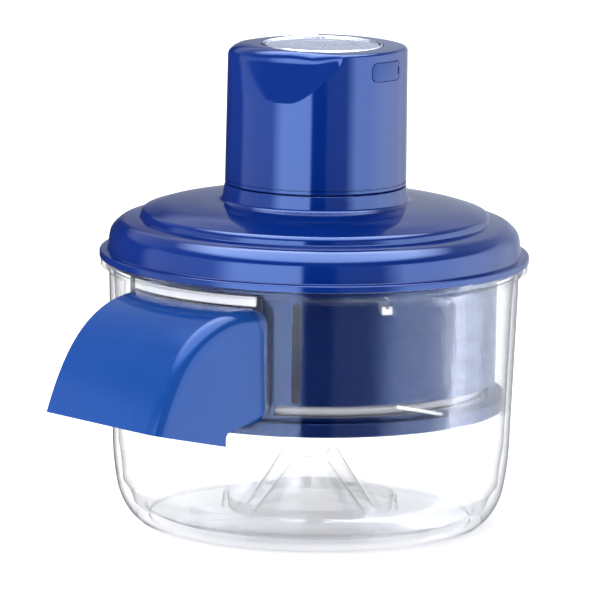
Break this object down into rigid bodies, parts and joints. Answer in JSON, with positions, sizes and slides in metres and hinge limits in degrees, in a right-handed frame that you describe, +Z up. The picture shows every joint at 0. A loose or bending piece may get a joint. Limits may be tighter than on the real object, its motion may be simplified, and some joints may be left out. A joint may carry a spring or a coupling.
{
  "type": "electric garlic peeler",
  "caption": "Rechargeable garlic peeler: clear round bowl with a side chute hood, lift-out peeling drum with paddle rotor, and a domed lid whose head holds motor, battery and push button.",
  "frame": {"origin": "where the turning axis of bowl, rotor and head meets the table plane, at the underside of the foot ring", "axes": "+Z up along the turning axis, the chute points along -X, +Y completes a right-handed frame"},
  "size_m": [0.2001, 0.165, 0.1849],
  "materials": {
    "clear_plastic": "gloss, clear",
    "blue_plastic": "gloss",
    "hood_plastic": "gloss, slightly lighter blue",
    "white_plastic": "gloss",
    "pale_plastic": "satin",
    "silver_plastic": "gloss",
    "silicone": "matte silicone",
    "blue_rubber": "matte",
    "black_plastic": "matte",
    "steel": "brushed",
    "screw_steel": "zinc plated",
    "bright_trim": "polished",
    "bronze": "sintered bronze",
    "magnet": "ferrite",
    "cell_wrap": "heat-shrink film",
    "circuit_board": "solder mask"
  },
  "bodies": {
    "bowl": {"clear_bowl": "clear_plastic", "window_strip": "white_plastic"},
    "chute": {"chute_hood": "hood_plastic"},
    "drum": {"peel_drum": "blue_plastic", "drum_latch": "white_plastic", "drum_tray": "blue_plastic", "bayonet_ramps": "white_plastic", "tray_pin": "steel"},
    "rotor": {"rotor_plate": "pale_plastic", "silicone_paddles": "silicone", "rotor_bush": "bronze", "drive_socket": "steel"},
    "lid": {"lid_shell": "blue_plastic", "lid_inner_plate": "blue_plastic", "lid_gasket": "silicone", "shaft_seal": "silicone", "plate_screws": "screw_steel", "gear_housing": "black_plastic", "lower_bush": "bronze", "motor_plate": "steel", "upper_bush": "bronze", "motor_can": "steel", "motor_screws": "screw_steel", "motor_magnets": "magnet", "motor_end_cap": "black_plastic", "battery_cells": "cell_wrap", "battery_holder": "black_plastic", "control_board": "circuit_board", "micro_switch": "black_plastic", "usb_port": "steel", "charge_board": "circuit_board", "head_shell": "blue_plastic", "head_screws": "screw_steel", "button_trim_ring": "bright_trim"},
    "drive": {"output_gear": "pale_plastic", "output_shaft": "steel", "drive_dog": "pale_plastic"},
    "motor_rotor": {"armature": "steel", "pinion": "bronze"},
    "button": {"power_button": "silver_plastic", "button_spring": "screw_steel"},
    "port_cover": {"usb_cover": "blue_rubber"}
  },
  "joints": [
    {"name": "lid_lift", "type": "slide", "parent": "bowl", "child": "lid", "axis": [0, 0, 1], "range_m": [0, 0.13]},
    {"name": "drum_lift", "type": "slide", "parent": "bowl", "child": "drum", "axis": [0, 0, 1], "range_m": [0, 0.065]},
    {"name": "chute_pull", "type": "slide", "parent": "bowl", "child": "chute", "axis": [-1, 0, 0], "range_m": [0, 0.035]},
    {"name": "drive_spin", "type": "hinge", "parent": "lid", "child": "drive", "pos_m": [0, 0, 0.11], "axis": [0, 0, 1], "continuous": true},
    {"name": "rotor_spin", "type": "hinge", "parent": "drum", "child": "rotor", "pos_m": [0, 0, 0.06], "axis": [0, 0, 1], "continuous": true},
    {"name": "motor_spin", "type": "hinge", "parent": "lid", "child": "motor_rotor", "pos_m": [0.0192, 0, 0.14], "axis": [0, 0, 1], "continuous": true},
    {"name": "button_press", "type": "slide", "parent": "lid", "child": "button", "axis": [0, 0, -1], "range_m": [0, 0.0012], "stiffness_N_per_m": 900, "springref_m": -0.0006, "deforming": ["button_spring"]},
    {"name": "port_cover_open", "type": "hinge", "parent": "lid", "child": "port_cover", "pos_m": [-0.00375, -0.03424, 0.1768], "axis": [0, 0, -1], "range_deg": [0, 110]}
  ],
  "couplings": [
    {"joint": "drum_lift", "follows": "lid_lift", "ratio": 0.5},
    {"joint": "drive_spin", "follows": "rotor_spin", "ratio": 1},
    {"joint": "motor_spin", "follows": "rotor_spin", "ratio": -3}
  ]
}
